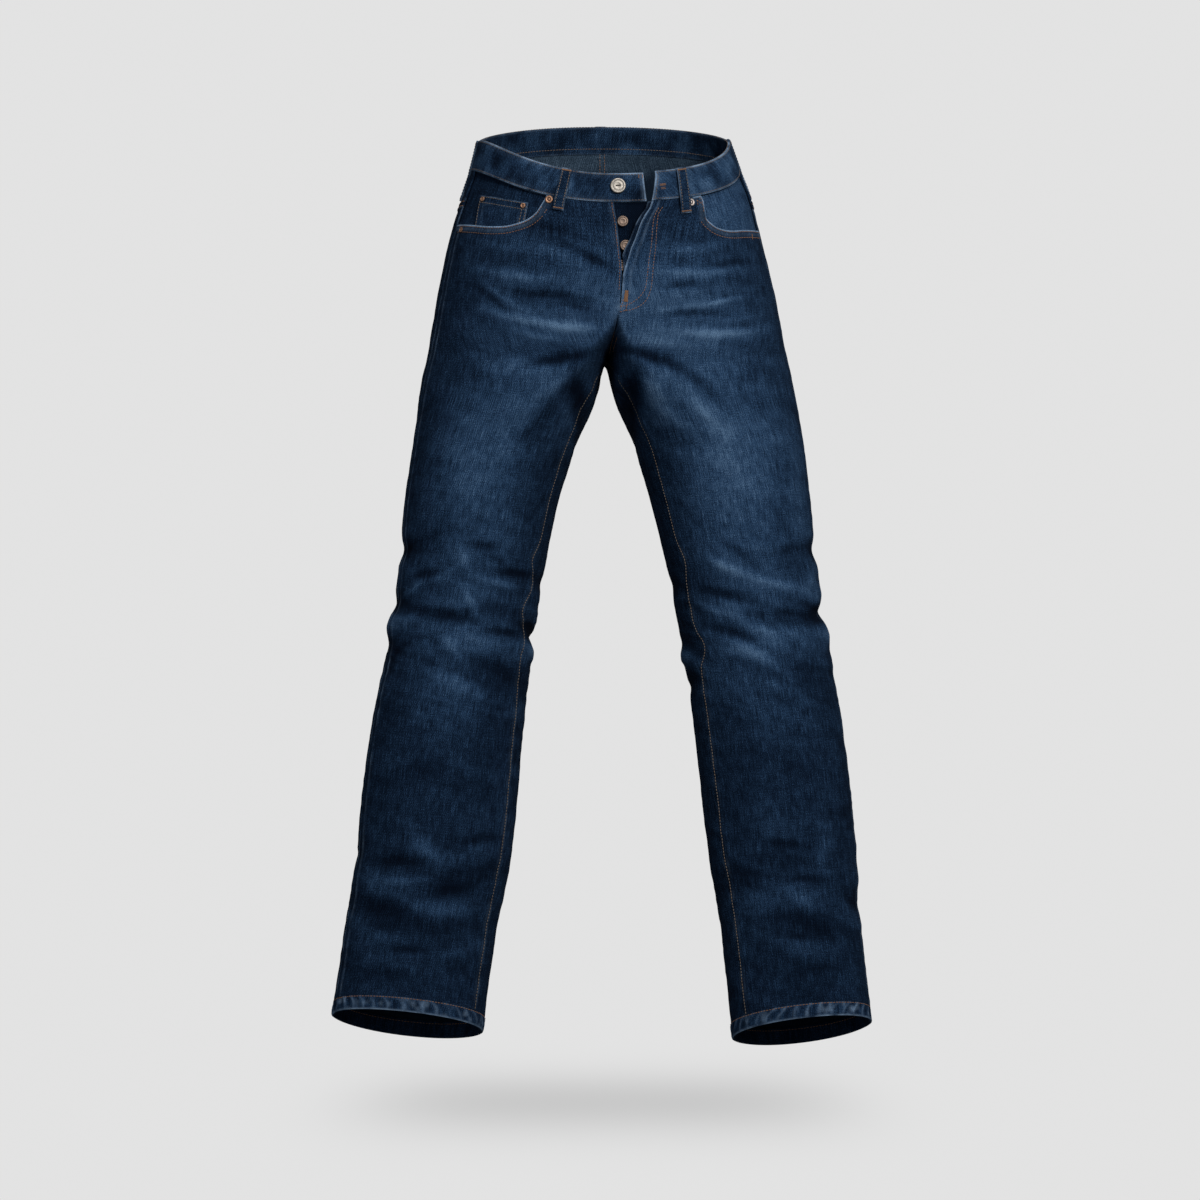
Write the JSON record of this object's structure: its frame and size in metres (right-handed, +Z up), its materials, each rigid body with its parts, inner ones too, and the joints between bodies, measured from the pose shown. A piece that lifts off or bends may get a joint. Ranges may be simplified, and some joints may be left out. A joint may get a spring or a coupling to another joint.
{
  "type": "straight-leg jeans",
  "caption": "Straight-leg five-pocket jeans with an open button fly, hollow and filled out as if worn, held up at the waist.",
  "frame": {"origin": "middle of the waist ring, where the wearer's hips hold the jeans up", "axes": "+Z up, the front faces -Y, the wearer's left is +X"},
  "size_m": [0.5896, 0.3032, 1.0358],
  "materials": {
    "denim": "indigo denim twill, washed and faded down the thighs",
    "denim_trim": "indigo denim twill, rubbed lighter along its edges",
    "button_steel": "antique nickel with a darkened rim",
    "rivet_copper": "antique copper"
  },
  "bodies": {
    "root": {"front_right": "denim", "front_left": "denim", "back_right": "denim", "back_left": "denim", "yoke_right": "denim", "yoke_left": "denim", "waistband": "denim_trim", "hem_right": "denim_trim", "hem_left": "denim_trim", "pocket_facing_right": "denim", "pocket_facing_left": "denim", "coin_pocket": "denim", "back_pocket_right": "denim", "back_pocket_left": "denim", "fly_shield": "denim_trim", "fly_facing": "denim_trim", "belt_loop_front_right": "denim_trim", "belt_loop_front_left": "denim_trim", "belt_loop_side_right": "denim_trim", "belt_loop_side_left": "denim_trim", "belt_loop_back": "denim_trim", "waist_button": "button_steel", "fly_button_1": "rivet_copper", "fly_button_2": "rivet_copper", "fly_button_3": "rivet_copper", "rivet_front_right": "rivet_copper", "rivet_front_left": "rivet_copper", "rivet_side_right": "rivet_copper", "rivet_coin_outer": "rivet_copper", "rivet_coin_inner": "rivet_copper"}
  },
  "joints": []
}
